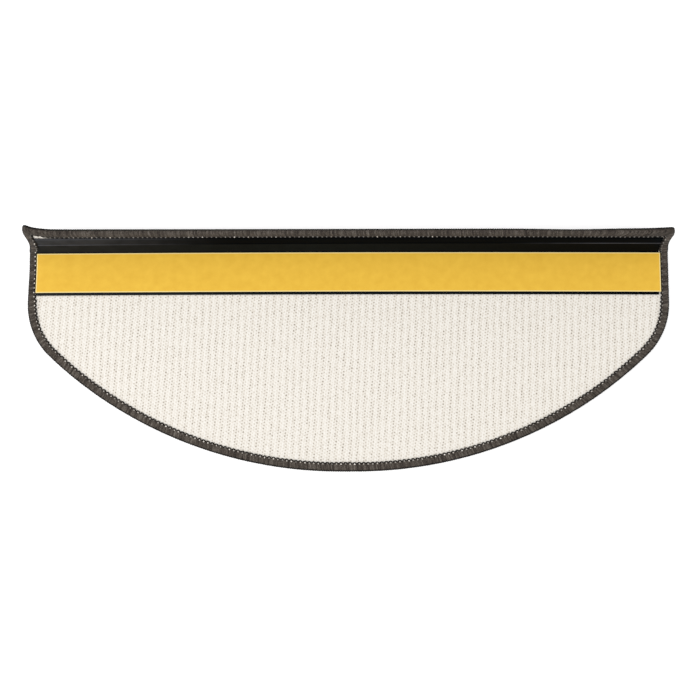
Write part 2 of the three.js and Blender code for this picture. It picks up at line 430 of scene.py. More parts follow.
    def inside(self, x: float, s: float) -> float:
        """Distance from the outline, positive inside it.

        Args:
            x: place across the mat.
            s: place along the mat.

        Returns:
            The distance.
        """
        across = abs(x)
        if s > -self.side_straight:
            over_x = across - (self.half_width - self.corner_radius)
            over_s = s - (self.flap_end - self.corner_radius)
            if over_x > 0 and over_s > 0:
                return self.corner_radius - math.hypot(over_x, over_s)
            return min(self.half_width - across, self.flap_end - s)
        from_x = across - self.front_straight / 2
        from_s = self.wide_radius - self.tread_depth - s
        if from_x <= 0:
            return s + self.tread_depth
        if math.atan2(from_x, from_s) < self.wide_angle:
            return self.wide_radius - math.hypot(from_x, from_s)
        shoulder = self.half_width - self.shoulder_radius
        return self.shoulder_radius - math.hypot(across - shoulder, s + self.side_straight)

    def pulled_in(self, x: float, s: float, inset: float) -> tuple[float, float]:
        """Moves a place square to the outline until it lies at an inset from it.

        Args:
            x: place across the mat.
            s: place along the mat.
            inset: the distance that it takes from the outline.

        Returns:
            The new x and s.
        """
        step = 0.01 * MM  # over which the slope is measured
        here = self.inside(x, s)
        slope_x = (self.inside(x + step, s) - here) / step
        slope_s = (self.inside(x, s + step) - here) / step
        return x + slope_x * (inset - here), s + slope_s * (inset - here)


# Noise and mesh helpers


def line_noise(along: float, row: float) -> float:
    """Smooth noise along a line, about -1 to 1. Each row is another line."""
    return noise.noise(Vector((along, row, 0.0)))


def shifted(mesh: bmesh.types.BMesh, made: list, offset: Vector) -> list[bmesh.types.BMVert]:
    """Moves the vertices among what an operator made.

    Args:
        mesh: the mesh that they are in.
        made: what the operator made.
        offset: how far they move.

    Returns:
        The vertices.
    """
    verts = [item for item in made if isinstance(item, bmesh.types.BMVert)]
    bmesh.ops.translate(mesh, verts=verts, vec=offset)
    return verts


def ring_edges(verts: list[bmesh.types.BMVert]) -> list[bmesh.types.BMEdge]:
    """The edges that run between vertices of one ring, in the same order each run."""
    members = set(verts)
    found = (edge for vert in verts for edge in vert.link_edges if edge.other_vert(vert) in members)
    return list(dict.fromkeys(found))


def grown(
    mesh: bmesh.types.BMesh, edges: list[bmesh.types.BMEdge], offset: Vector
) -> list[bmesh.types.BMEdge]:
    """Extrudes edges by an offset and gives the new ones."""
    made = bmesh.ops.extrude_edge_only(mesh, edges=edges)["geom"]
    return ring_edges(shifted(mesh, made, offset))


def thickened(mesh: bmesh.types.BMesh, faces: list[bmesh.types.BMFace], offset: Vector) -> None:
    """Extrudes faces by an offset, so that they close a solid."""
    shifted(mesh, bmesh.ops.extrude_face_region(mesh, geom=faces)["geom"], offset)


def cut_to_outline(
    mesh: bmesh.types.BMesh, form: MatForm, inset: float, others: frozenset = frozenset()
) -> list[bmesh.types.BMFace]:
    """Cuts a flat grid to the mat's outline and pulls its edge to an even inset.

    Args:
        mesh: the mesh that the grid is in.
        form: the mat's shape.
        inset: how far inside the outline the grid ends.
        others: vertices of the mesh that aren't the grid's.

    Returns:
        The faces that are left of the grid.
    """
    outside = [
        face for face in mesh.faces
        if face.verts[0] not in others and form.inside(*face.calc_center_median().xy) < inset
    ]
    bmesh.ops.delete(mesh, geom=outside, context="FACES")
    for vert in mesh.verts:
        if vert.is_boundary and vert not in others:
            vert.co.xy = form.pulled_in(vert.co.x, vert.co.y, inset)
    return [face for face in mesh.faces if face.verts[0] not in others]


class Strand:
    """A tube that grows from a ring by straight runs and turns."""

    def __init__(
        self, mesh: bmesh.types.BMesh, radius: float, sides: int, start: Vector, heading: Vector
    ) -> None:
        """Starts the tube.

        Args:
            mesh: the mesh that it is made in.
            radius: the tube's radius.
            sides: faces round the tube.
            start: the middle of its first ring.
            heading: the direction that it sets off in.
        """
        self.mesh = mesh
        place = Matrix.Translation(start) @ heading.to_track_quat("Z", "Y").to_matrix().to_4x4()
        ring = bmesh.ops.create_circle(mesh, cap_ends=False, radius=radius, segments=sides, matrix=place)
        self.edges = ring_edges(ring["verts"])
        self.first = self.edges

    def run(self, offset: Vector, steps: int = 1) -> None:
        """Lengthens the tube by an offset in equal steps."""
        for _ in range(steps):
            self.edges = grown(self.mesh, self.edges, offset / steps)

    def turn(self, centre: Vector, axis: Vector, angle: float, steps: int) -> None:
        """Bends the tube round an axis.

        Args:
            centre: a place on the axis.
            axis: the axis's direction.
            angle: how far it turns.
            steps: in how many equal steps.
        """
        made = bmesh.ops.spin(
            self.mesh, geom=self.edges, cent=centre, axis=axis, angle=angle, steps=steps, use_duplicate=False
        )["geom_last"]
        self.edges = ring_edges([item for item in made if isinstance(item, bmesh.types.BMVert)])

    def close(self) -> None:
        """Fills both ends."""
        for edges in (self.first, self.edges):
            bmesh.ops.edgeloop_fill(self.mesh, edges=edges)


def repeat(mesh: bmesh.types.BMesh, count: int, step: Vector) -> None:
    """Lays copies of everything in a mesh in a row.

    Args:
        mesh: the mesh, which holds one item and nothing else.
        count: how many items there are in the end.
        step: from one item to the next.
    """
    parts = (mesh.verts, mesh.edges, mesh.faces)
    sizes = [len(part) for part in parts]
    made = 1
    while made < count:
        more = min(made, count - made)
        source = [item for part, size in zip(parts, sizes) for item in list(part)[: size * more]]
        shifted(mesh, bmesh.ops.duplicate(mesh, geom=source)["geom"], step * made)
        made += more


def add_object(name: str, data: bpy.types.ID) -> bpy.types.Object:
    """Adds an object to the scene."""
    made = bpy.data.objects.new(name, data)
    bpy.context.scene.collection.objects.link(made)
    return made


def mesh_object(name: str, mesh: bmesh.types.BMesh, material: bpy.types.Material) -> bpy.types.Object:
    """Adds a mesh to the scene.

    Args:
        name: the object's name.
        mesh: its mesh, which is freed.
        material: its material.

    Returns:
        The new object.
    """
    data = bpy.data.meshes.new(name)
    mesh.to_mesh(data)
    mesh.free()
    data.materials.append(material)
    return add_object(name, data)


def finish_piece(
    name: str, mesh: bmesh.types.BMesh, material: bpy.types.Material, slot: Slot,
    place: Callable[[Vector], Vector], shade: Callable[[Vector], float] | None = None, weld: float = 0.0,
) -> bpy.types.Object:
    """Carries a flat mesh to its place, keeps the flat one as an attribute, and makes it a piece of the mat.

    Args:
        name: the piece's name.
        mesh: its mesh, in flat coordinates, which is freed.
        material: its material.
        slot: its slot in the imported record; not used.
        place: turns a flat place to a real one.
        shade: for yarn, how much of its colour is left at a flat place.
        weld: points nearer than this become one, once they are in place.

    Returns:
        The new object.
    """
    lay = mesh.verts.layers.float_vector.new(LAY)
    tone = mesh.verts.layers.float.new(SHADE) if shade else None
    for vert in mesh.verts:
        vert[lay] = vert.co / MM
        if tone:
            vert[tone] = shade(vert.co)
        vert.co = place(vert.co)
    if weld:
        bmesh.ops.remove_doubles(mesh, verts=mesh.verts, dist=weld)
    bmesh.ops.recalc_face_normals(mesh, faces=mesh.faces)
    for face in mesh.faces:
        face.smooth = True
    piece = mesh_object(name, mesh, material)
    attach(piece, BODY)
    LOG.info("%s: %d faces", name, len(piece.data.polygons))
    return piece


# Finishes

AddNode = Callable[..., bpy.types.Node]  # add_node for one material
Feed = bpy.types.NodeSocket | bpy.types.Node


class Finish:
    """One finish: its nodes are worked out by its own surface method."""

    name: str

    def surface(self, add: AddNode) -> dict:
        """Adds the nodes that feed the shader.

        Args:
            add: adds a node to the material.

        Returns:
            The shader's inputs.
        """
        raise NotImplementedError

    def material(self) -> bpy.types.Material:
        """Makes the material.

        Returns:
            The new material.
        """
        made = bpy.data.materials.new(self.name)
        made.use_nodes = True
        made.node_tree.nodes.clear()
        add = partial(add_node, made.node_tree)
        shader = add("BsdfPrincipled", self.surface(add))
        add("OutputMaterial", {"Surface": shader})
        return made


@dataclass(frozen=True)
class Wave:
    """One of the plane waves that add up to the backing's stitch pattern."""

    across: float  # waves per millimetre across the mat
    along: float  # waves per millimetre towards the nose
    size: float  # share of the pattern's contrast
    phase: float

    def value(self, x: float, s: float) -> float:
        """The wave at a place in millimetres."""
        return self.size * math.cos(math.tau * (self.across * x + self.along * s) + self.phase)


@dataclass(frozen=True)
class StitchPattern:
    """Rows of stitch holes in the backing, 7.2 mm apart, crossed by fine slanting threads."""

    rows: tuple[Wave, ...] = (
        Wave(0.1390, -0.0020, 5.0, 3.01),
        Wave(0.0177, -0.3424, 1.6, -1.45),
        Wave(0.1567, -0.3443, 4.0, -0.66),
    )
    threads: tuple[Wave, ...] = (
        Wave(0.2445, 0.2837, 5.7, 0.76),
        Wave(0.4012, -0.0587, 5.3, 3.19),
    )
    centre: tuple[float, float] = (-18.9, -99.0)  # where the phases are stated, in millimetres

    def relief(self, x: float, s: float) -> float:
        """Height of the rows of holes at a place in metres, from about -10 to 10."""
        across, along = x / MM - self.centre[0], s / MM - self.centre[1]
        return sum(wave.value(across, along) for wave in self.rows)

    def node(self, add: AddNode, place: bpy.types.Node) -> bpy.types.Node:
        """Adds the nodes that work out the pattern.

        Args:
            add: adds a node to the material.
            place: the place on the unfolded mat, in millimetres.

        Returns:
            The node that gives the pattern's value, from about -20 to 20.
        """
        total = None
        for wave in self.rows + self.threads:
            turns = (math.tau * wave.across, math.tau * wave.along, 0)
            start = wave.phase - turns[0] * self.centre[0] - turns[1] * self.centre[1]
            dot = add("VectorMath", {0: place, 1: turns}, operation="DOT_PRODUCT")
            angle = add("Math", {0: dot.outputs["Value"], 1: start}, operation="ADD")
            swing = add("Math", {0: angle}, operation="COSINE")
            total = add("Math", {0: swing, 1: wave.size, 2: total or 0.0}, operation="MULTIPLY_ADD")
        return total


@dataclass(frozen=True)
class BackingFinish(Finish):
    """Stitch-bonded polypropylene backing: matt, off-white, with rows of small stitch holes darkened with
    painted shade, and painted highlights on the crowns between.
    """

    name = "stitch_bonded_backing"
    pattern: StitchPattern = field(default_factory=StitchPattern)
    # painted shade: the colour in the stitch holes
    hole_shade: str = "A2998D"
    thread: str = "E2DACE"
    face: str = "F3EDE3"
    # painted highlight: the colour on the crowns between the holes
    crown_highlight: str = "FCF8F1"
    contrast: float = 1 / 36
    middle: float = 0.6  # place on the colour ramp where the pattern is zero
    wander: float = 1.6  # millimetres that the rows stray from straight
    wander_pitch: float = 40.0  # millimetres
    fibre_pitch: float = 1.5  # millimetres: coarser than the real fibres, so that it shows
    fibre_size: float = 50.0  # spread of the fibres' noise, in the pattern's own units
    roughness: float = 0.9

    def surface(self, add: AddNode) -> dict:
        """Adds the rows, threads and fibres, with painted shade in the holes and painted highlights on the
        crowns.

        Args:
            add: adds a node to the material.

        Returns:
            The shader's inputs.
        """
        lay = add("Attribute", attribute_name=LAY).outputs["Vector"]
        drift = add("TexNoise", {"Vector": lay, "Scale": 1 / self.wander_pitch, "Detail": 1.0})
        centred = add("VectorMath", {0: drift.outputs["Color"], 1: (0.5, 0.5, 0.5)}, operation="SUBTRACT")
        strayed = add("VectorMath", {0: centred, 1: (self.wander,) * 3, 2: lay}, operation="MULTIPLY_ADD")
        fibres = add(
            "TexNoise", {"Vector": lay, "Scale": 1 / self.fibre_pitch, "Detail": 2.0, "Roughness": 0.6}
        )
        rough = add(
            "Math", {0: fibres, 1: self.fibre_size, 2: -self.fibre_size / 2}, operation="MULTIPLY_ADD"
        )
        level = add("Math", {0: self.pattern.node(add, strayed), 1: rough}, operation="ADD")
        factor = add(
            "Math", {0: level, 1: self.contrast, 2: self.middle}, operation="MULTIPLY_ADD", use_clamp=True
        )
        # the ramp runs from painted shade in the holes to painted highlights on the crowns
        colour = add(
            "ValToRGB", {"Fac": factor},
            stops=[(0.0, self.hole_shade), (0.3, self.thread), (self.middle, self.face), (1.0, self.crown_highlight)],
        )
        bump = add("Bump", {"Height": factor, "Strength": 0.5, "Distance": 0.3 * MM})
        return {
            "Base Color": colour, "Roughness": self.roughness, "Normal": bump, "Sheen Weight": 0.1,
            "Specular IOR Level": 0.2,
        }


@dataclass(frozen=True)
class YarnFinish(Finish):
    """Bulked polypropylene yarn: matt, with fine plies along it, and painted shade in its hollows and along
    edges.
    """

    name: str
    dark: str
    body: str
    light: str
    fibre_pitch: float = 0.9  # millimetres: coarser than the real fibres, so that it shows
    tone_pitch: float = 4.0  # millimetres between lighter and darker strands
    tone_length: float = 4.0  # millimetres that a tone runs along a strand
    tone_share: float = 0.9  # how strongly strands differ in tone
    roughness: float = 0.95

    def surface(self, add: AddNode) -> dict:
        """Adds the plies, tones and the painted shade in hollows and along edges.

        Args:
            add: adds a node to the material.

        Returns:
            The shader's inputs.
        """
        lay = add("Attribute", attribute_name=LAY).outputs["Vector"]
        shade = add("Attribute", attribute_name=SHADE).outputs["Fac"]
        fibres = add(
            "TexNoise", {"Vector": lay, "Scale": 1 / self.fibre_pitch, "Detail": 3.0, "Roughness": 0.65}
        )
        stretch = (1 / self.tone_pitch, 1 / self.tone_length, 1 / self.tone_length)
        strands = add("Mapping", {"Vector": lay, "Scale": stretch})
        tones = add("TexNoise", {"Vector": strands, "Scale": 1.0, "Detail": 1.0})
        tone = add("Math", {0: tones, 1: self.tone_share, 2: -self.tone_share / 2}, operation="MULTIPLY_ADD")
        factor = add("Math", {0: fibres, 1: tone}, operation="ADD", use_clamp=True)
        colour = add(
            "ValToRGB", {"Fac": factor}, stops=[(0.25, self.dark), (0.5, self.body), (0.78, self.light)]
        )
        # painted shade: the colour is scaled down by the shade attribute
        shaded = add("VectorMath", {0: colour, "Scale": shade}, operation="SCALE")
        bump = add("Bump", {"Height": fibres, "Strength": 0.6, "Distance": 0.4 * MM})
        return {
            "Base Color": shaded, "Roughness": self.roughness, "Normal": bump, "Sheen Weight": 0.05,
            "Sheen Roughness": 0.6, "Specular IOR Level": 0.1,
        }


@dataclass(frozen=True)
class ProfileFinish(Finish):
    """Extruded black PVC: matt, with fine die lines, painted sheen from the left light over its left part,
    and painted highlights on the bead and the leg's edge.
    """

    up: Vector  # along the upright leg
    bead_at: float  # how far up along that direction the bead lies, in millimetres
    rim_at: float  # the same for the leg's edge
    half_length: float  # millimetres
    name = "extruded_black_pvc"
    body: str = "030507"
    line: str = "070A0C"
    # painted sheen from the left light, over the upright leg's left end
    painted_sheen_left: str = "3A3A3B"
    # painted highlight along the bead and the leg's edge
    painted_highlight: str = "4E4E52"
    # painted sheen from the left light, over the leg below the bead, fading to the right
    painted_sheen_low: str = "131718"
    line_pitch: float = 0.5  # millimetres between die lines, coarser than real so that they show
    line_length: float = 60.0  # millimetres
    under_bead: float = 1.5  # millimetres below the bead over which the painted sheens change
    rim_reach: Span = (1.4, 0.8)  # millimetres below the leg's edge over which its painted highlight comes in
    bead_reach: Span = (0.35, 0.8)  # millimetres from the bead's middle over which its painted highlight goes out
    patch_scale: float = 0.09  # of the noise that breaks up the painted sheens and highlights, for each millimetre
    roughness: float = 0.6

    def surface(self, add: AddNode) -> dict:
        """Adds the die lines, and the painted sheens and highlights.

        Args:
            add: adds a node to the material.

        Returns:
            The shader's inputs.
        """
        lay = add("Attribute", attribute_name=LAY).outputs["Vector"]
        across = add("SeparateXYZ", {0: lay}).outputs["X"]
        along = add("VectorMath", {0: lay, 1: self.up}, operation="DOT_PRODUCT").outputs["Value"]
        stretch = (1 / self.line_length, 1 / self.line_pitch, 1 / self.line_pitch)
        stretched = add("Mapping", {"Vector": lay, "Scale": stretch})
        lines = add("TexNoise", {"Vector": stretched, "Scale": 1.0, "Detail": 2.0})
        # noise that breaks up the painted sheens and highlights
        patches = add("TexNoise", {"Vector": lay, "Scale": self.patch_scale, "Detail": 4.0})
        distance = add("Math", {0: along, 1: self.bead_at}, operation="SUBTRACT")
        apart = add("Math", {0: distance}, operation="ABSOLUTE")
        from_middle = add("Math", {0: across}, operation="ABSOLUTE")
        half = self.half_length
        bead = (self.bead_at - self.under_bead, self.bead_at)
        edge_highlight = (self.rim_at - self.rim_reach[0], self.rim_at - self.rim_reach[1])
        ends = (0.45 * half, 0.95 * half)
        layers = (
            # painted sheen below the bead, fading out towards the right
            (self.painted_sheen_low, (along, bead, 1.0, 0.0), (across, (-0.2 * half, half), 1.0, 0.0)),
            # painted sheen over the left end, most above the bead
            (self.painted_sheen_left, (across, (-half, -0.35 * half), 1.0, 0.0), (along, bead, 0.35, 1.0)),
            # painted highlight along the bead, towards both ends
            (self.painted_highlight, (apart, self.bead_reach, 1.0, 0.0), (from_middle, ends, 0.0, 1.0)),
            # painted highlight along the leg's edge, at the left
            (self.painted_highlight, (along, edge_highlight, 0.0, 0.7), (across, (-half, -0.4 * half), 1.0, 0.0)),
        )
        colour = add("ValToRGB", {"Fac": lines}, stops=[(0.35, self.body), (0.7, self.line)])
        for toned, *limits in layers:
            colour = self.toned(add, colour, toned, patches, limits)
        bump = add("Bump", {"Height": lines, "Strength": 0.25, "Distance": 0.1 * MM})
        return {
            "Base Color": colour, "Roughness": self.roughness, "Normal": bump, "IOR": 1.53,
            "Specular IOR Level": 0.018,
        }

    @staticmethod
    def toned(
        add: AddNode, under: Feed, colour: str, patches: Feed, limits: list[tuple[Feed, Span, float, float]]
    ) -> bpy.types.NodeSocket:
        """Lays a painted sheen or highlight over another colour where every limit lets it.

        Args:
            add: adds a node to the material.
            under: the colour below.
            colour: the painted sheen or highlight colour.
            patches: noise that breaks it up.
            limits: for each limit, its value, the span that counts, and the strengths at its ends.

        Returns:
            The mixed colour.
        """
        strength = add(
            "MapRange", {"Value": patches, "From Min": 0.3, "From Max": 0.6, "To Min": 0.7, "To Max": 1.0}
        )
        for value, (low, high), at_low, at_high in limits:
            limit = add(
                "MapRange",
                {"Value": value, "From Min": low, "From Max": high, "To Min": at_low, "To Max": at_high},
                interpolation_type="SMOOTHSTEP",
            )
            strength = add("Math", {0: strength, 1: limit}, operation="MULTIPLY")
        return add("Mix", {0: strength, 6: under, 7: linear(colour)}, data_type="RGBA").outputs[2]


@dataclass(frozen=True)
class LinerFinish(Finish):
    """Silicone-coated liner paper: smooth, golden yellow, with faint mottling and a painted highlight along
    its edges.
    """

    width: float
    length: float
    name = "coated_yellow_liner_paper"
    body: str = "F7C744"
    deep: str = "EFBD3C"
    # painted highlight along the cut edges
    edge_highlight: str = "FFE69C"
    rim_width: float = 1.15  # millimetres of painted highlight along each edge
    mottle_pitch: float = 9.0  # millimetres
    roughness: float = 0.42

    def surface(self, add: AddNode) -> dict:
        """Adds the mottling and the painted highlight along the edges.

        Args:
            add: adds a node to the material.

        Returns:
            The shader's inputs.
        """
        lay = add("Attribute", attribute_name=LAY).outputs["Vector"]
        mottle = add("TexNoise", {"Vector": lay, "Scale": 1 / self.mottle_pitch, "Detail": 5.0})
        colour = add("ValToRGB", {"Fac": mottle}, stops=[(0.3, self.deep), (0.7, self.body)])
        split = add("SeparateXYZ", {0: lay})
        insets = []
        for axis, size in (("X", self.length), ("Y", self.width)):
            from_middle = add("Math", {0: split.outputs[axis]}, operation="ABSOLUTE")
            insets.append(add("Math", {0: size / 2 / MM, 1: from_middle}, operation="SUBTRACT"))
        nearest = add("Math", {0: insets[0], 1: insets[1]}, operation="MINIMUM")
        inner, outer = self.rim_width, 0.7 * self.rim_width
        # painted highlight: paler within rim_width of each edge
        edge_highlight = add(
            "MapRange", {"Value": nearest, "From Min": outer, "From Max": inner, "To Min": 1.0, "To Max": 0.0}
        )
        mixed = add("Mix", {0: edge_highlight, 6: colour, 7: linear(self.edge_highlight)}, data_type="RGBA").outputs[2]
        bump = add("Bump", {"Height": mottle, "Strength": 0.15, "Distance": 0.3 * MM})
        return {
            "Base Color": mixed, "Roughness": self.roughness, "Normal": bump, "IOR": 1.45,
            "Specular IOR Level": 0.3,
        }


@dataclass(frozen=True)
class TapeFinish(Finish):
    """Acrylic adhesive on a foam carrier: soft, cream, slightly glossy, with fine cells."""

    name = "cream_adhesive_foam"
    face: str = "ECE7D8"
    cell: str = "D8D1BE"
    cell_pitch: float = 0.6 * MM
    roughness: float = 0.55

    def surface(self, add: AddNode) -> dict:
        """Adds the foam's cells.

        Args:
            add: adds a node to the material.

        Returns:
            The shader's inputs.
        """
        place = add("TexCoord").outputs["Object"]
        cells = add("TexVoronoi", {"Vector": place, "Scale": 1 / self.cell_pitch})
        colour = add("ValToRGB", {"Fac": cells}, stops=[(0.1, self.cell), (0.6, self.face)])
        bump = add("Bump", {"Height": cells, "Strength": 0.4, "Distance": 0.1 * MM})
        return {"Base Color": colour, "Roughness": self.roughness, "Normal": bump, "IOR": 1.47}


@dataclass(frozen=True)
class FloorFinish(Finish):
    """Opal acrylic light table: matt white, with a faint tooth, lit softly from below."""

    name = "opal_acrylic_light_table"
    face: str = "FDFDFD"
    tooth: str = "F9F9F9"
    tooth_pitch: float = 2.0 * MM
    roughness: float = 0.95
    glow: float = 0.42

    def surface(self, add: AddNode) -> dict:
        """Adds the tooth.

        Args:
            add: adds a node to the material.

        Returns:
            The shader's inputs.
        """
        place = add("TexCoord").outputs["Object"]
        tooth = add("TexNoise", {"Vector": place, "Scale": 1 / self.tooth_pitch})
        colour = add("ValToRGB", {"Fac": tooth}, stops=[(0.3, self.tooth), (0.7, self.face)])
        return {
            "Base Color": colour, "Roughness": self.roughness, "Specular IOR Level": 0.1,
            "Emission Color": linear("FFFFFF"), "Emission Strength": self.glow,
        }


# Sub-assemblies


@dataclass
class Backing:
    """The white backing cloth, with its rows of stitch holes, up over the fold and the flap."""

    form: MatForm
    finish: BackingFinish = field(default_factory=BackingFinish)
    cell_across: float = 1.2 * MM
    cell_along: float = 1.0 * MM
    hidden_cell: float = 3.0 * MM  # under the strip and the profile
    fold_steps: int = 8
    seen_to: float = -0.040  # the open field ends here, under the strip
    edge_inset: float = 4.0 * MM  # the cloth ends this far in, under the yarn
    hole_depth: float = 0.018 * MM  # depth for each unit of the pattern

    def row_places(self) -> list[float]:
        """Works out the mesh's rows: close in the open field, wide where the cloth is covered.

        Returns:
            Their places along the mat.
        """
        form = self.form
        stretches = [
            (-form.tread_depth, self.seen_to, self.cell_along),
            (self.seen_to, 0.0, self.hidden_cell),
            (0.0, form.fold_length, form.fold_length / self.fold_steps),
            (form.fold_length, form.flap_end, self.hidden_cell),
        ]
        places = [-form.tread_depth]
        for low, high, cell in stretches:
            steps = round((high - low) / cell)
            places += [low + (high - low) * (i + 1) / steps for i in range(steps)]
        return places

    def build(self) -> tuple[bpy.types.Object, float]:
        """Makes the cloth.

        Returns:
            The piece and its flat area.
        """
        form, rows = self.form, self.row_places()
        columns = round(form.mat_width / self.cell_across)
        mesh = bmesh.new()
        bmesh.ops.create_grid(mesh, x_segments=columns, y_segments=len(rows) - 1, size=0.5)
        for vert in mesh.verts:
            row = round((vert.co.y + 0.5) * (len(rows) - 1))
            vert.co = (vert.co.x * form.mat_width, rows[row], form.backing_top)
        area = sum(face.calc_area() for face in cut_to_outline(mesh, form, self.edge_inset))
        piece = finish_piece("backing_sheet", mesh, self.finish.material(), Slot.BACKING, self.place)
        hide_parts("backing_cloth")
        return piece, area

    def place(self, flat: Vector) -> Vector:
        """Sinks the stitch holes and folds the cloth."""
        relief = self.finish.pattern.relief(flat.x, flat.y) * self.hole_depth
        return self.form.placed(flat.x, flat.y, flat.z + relief)


@dataclass
class Pile:
    """The trodden side: a base and rows of plump yarn loops, face down on the floor."""

    form: MatForm
    finish: YarnFinish = YarnFinish("bulked_pile_yarn", "2B2927", "4A4642", "67625C")
    pitch: float = 5.0 * MM
    span: float = 1.25 * MM  # radius of the loop's arch
    thickness: float = 0.95 * MM
    plumpness: float = 2.1  # a loop is this much wider along the mat than it is thick
    sides: int = 4
    steps: int = 4
    base_low: float = 2.6 * MM
    base_high: float = 3.7 * MM
    base_cell: float = 6.5 * MM
    base_inset: float = 2.6 * MM
    field_inset: float = 11.0 * MM  # to the middle of the outermost loops
    jitter: float = 0.09  # how far loops stray, for each unit of pitch
    jitter_step: float = 3.7  # how far the noise moves on from loop to loop
    base_shade: float = 0.6  # how much darker painted shade makes the yarn at its foot, between the loops

    def build(self) -> bpy.types.Object:
        """Makes the loops and their base.

        Returns:
            The piece.
        """
        mesh = self.loops()
        self.add_base(mesh)
        piece = finish_piece("pile_loops", mesh, self.finish.material(), Slot.PILE, self.place, self.shade)
        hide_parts("pile_face")
        return piece

    def loops(self) -> bmesh.types.BMesh:
        """Makes the loops in staggered rows, on the unfolded mat, cut to the field.

        Returns:
            The mesh that holds them.
        """
        form = self.form
        mesh = bmesh.new()
        crest = self.span + self.thickness
        strand = Strand(mesh, self.thickness, self.sides, Vector((-self.span, 0, crest)), Vector((0, 0, -1)))
        strand.turn(Vector((0, 0, crest)), Vector((0, -1, 0)), math.pi, self.steps)
        bmesh.ops.scale(mesh, verts=mesh.verts, vec=(1, self.plumpness, 1))
        columns = round(form.mat_width / self.pitch)
        rows = round((form.tread_depth + form.flap_end) / self.pitch)
        size = len(mesh.verts)
        repeat(mesh, columns, Vector((self.pitch, 0, 0)))
        repeat(mesh, rows, Vector((0, self.pitch, 0)))
        bmesh.ops.translate(
            mesh, verts=mesh.verts, vec=(-self.pitch * (columns - 1) / 2, -form.tread_depth, 0)
        )
        verts = list(mesh.verts)
        outside = []
        for first in range(0, len(verts), size):
            loop = verts[first : first + size]
            middle = sum((vert.co for vert in loop), Vector()) / size
            row = round((middle.y + form.tread_depth) / self.pitch)
            stagger = self.pitch / 2 * (row % 2) - self.pitch / 4
            if form.inside(middle.x + stagger, middle.y) < self.field_inset:
                outside += loop
            jitter = noise.noise_vector(middle / self.pitch * self.jitter_step) * self.pitch * self.jitter
            for vert in loop:
                vert.co += Vector((stagger + jitter.x, jitter.y, 0))
        bmesh.ops.delete(mesh, geom=outside, context="VERTS")
        return mesh

    def add_base(self, mesh: bmesh.types.BMesh) -> None:
        """Adds the woven base that the loops stand in, cut to the outline.

        Args:
            mesh: the mesh that holds the loops.
        """
        form = self.form
        length = form.tread_depth + form.flap_end
        columns, rows = round(form.mat_width / self.base_cell), round(length / (self.base_cell / 2))
        loops = frozenset(mesh.verts)
        grid = bmesh.ops.create_grid(mesh, x_segments=columns, y_segments=rows, size=0.5)
        for vert in grid["verts"]:
            along = (vert.co.y + 0.5) * length - form.tread_depth
            vert.co = (vert.co.x * form.mat_width, along, self.base_low)
        faces = cut_to_outline(mesh, form, self.base_inset, loops)
        thickened(mesh, faces, Vector((0, 0, self.base_high - self.base_low)))

    def place(self, flat: Vector) -> Vector:
        """Folds the pile."""
        return self.form.placed(flat.x, flat.y, flat.z)

    def shade(self, flat: Vector) -> float:
        """Paints shade into the pile, darker towards its base."""
        return 1 - self.base_shade * smooth_step(flat.z, 0.3 * self.base_low, self.base_low)


@dataclass(frozen=True)
class KnotTones:
    """How pale the needle's knots are, as shares of their colour."""

    plain: float = 0.9
    off_middle: float = 0.25  # how much darker they are far from the mat's middle
    off_middle_span: Span = (0.13, 0.2)  # where that comes in
    variety: float = 1.6  # how much they differ from one another
    variety_step: float = 0.73  # how far that noise moves on from stitch to stitch
    least: float = 0.3
    most: float = 1.3  # of any knot, and of all beside the strip's left end
    strip_end: Span = (-0.055, 0.008)  # where those are, from the fold
    dulling: float = 0.65  # how much darker they are on the flap and beside the strip's right end
    dull_left: Span = (0.008, 0.014)  # where that comes in at the left, from the fold
    dull_right: Span = (-0.06, -0.04)  # the same at the right
    spared: float = 0.8  # share of the dulling that some knots are spared
    spared_span: Span = (0.18, 0.3)  # noise at which they are
    spared_step: float = 1.37  # how far that noise moves on from stitch to stitch
    spared_to: float = 0.1  # none are spared to the right of this

    def at(self, x: float, s: float, stitch: int) -> float:
        """Works out one knot's tone.

        Args:
            x: place across the mat.
            s: place along the mat.
            stitch: the number of its stitch.

        Returns:
            The tone.
        """
        toned = self.plain - self.off_middle * smooth_step(abs(x), *self.off_middle_span)
        toned += self.variety * line_noise(stitch * self.variety_step, row=5.1)
        if x < 0 and self.strip_end[0] < s < self.strip_end[1]:
            toned = self.most
        dull = smooth_step(s, *(self.dull_right if x > 0 else self.dull_left))
        if x < self.spared_to:
            chosen = smooth_step(line_noise(stitch * self.spared_step, row=9.4), *self.spared_span)
            dull *= 1 - self.spared * chosen
        return max(self.least, min(self.most, toned) * (1 - self.dulling * dull))


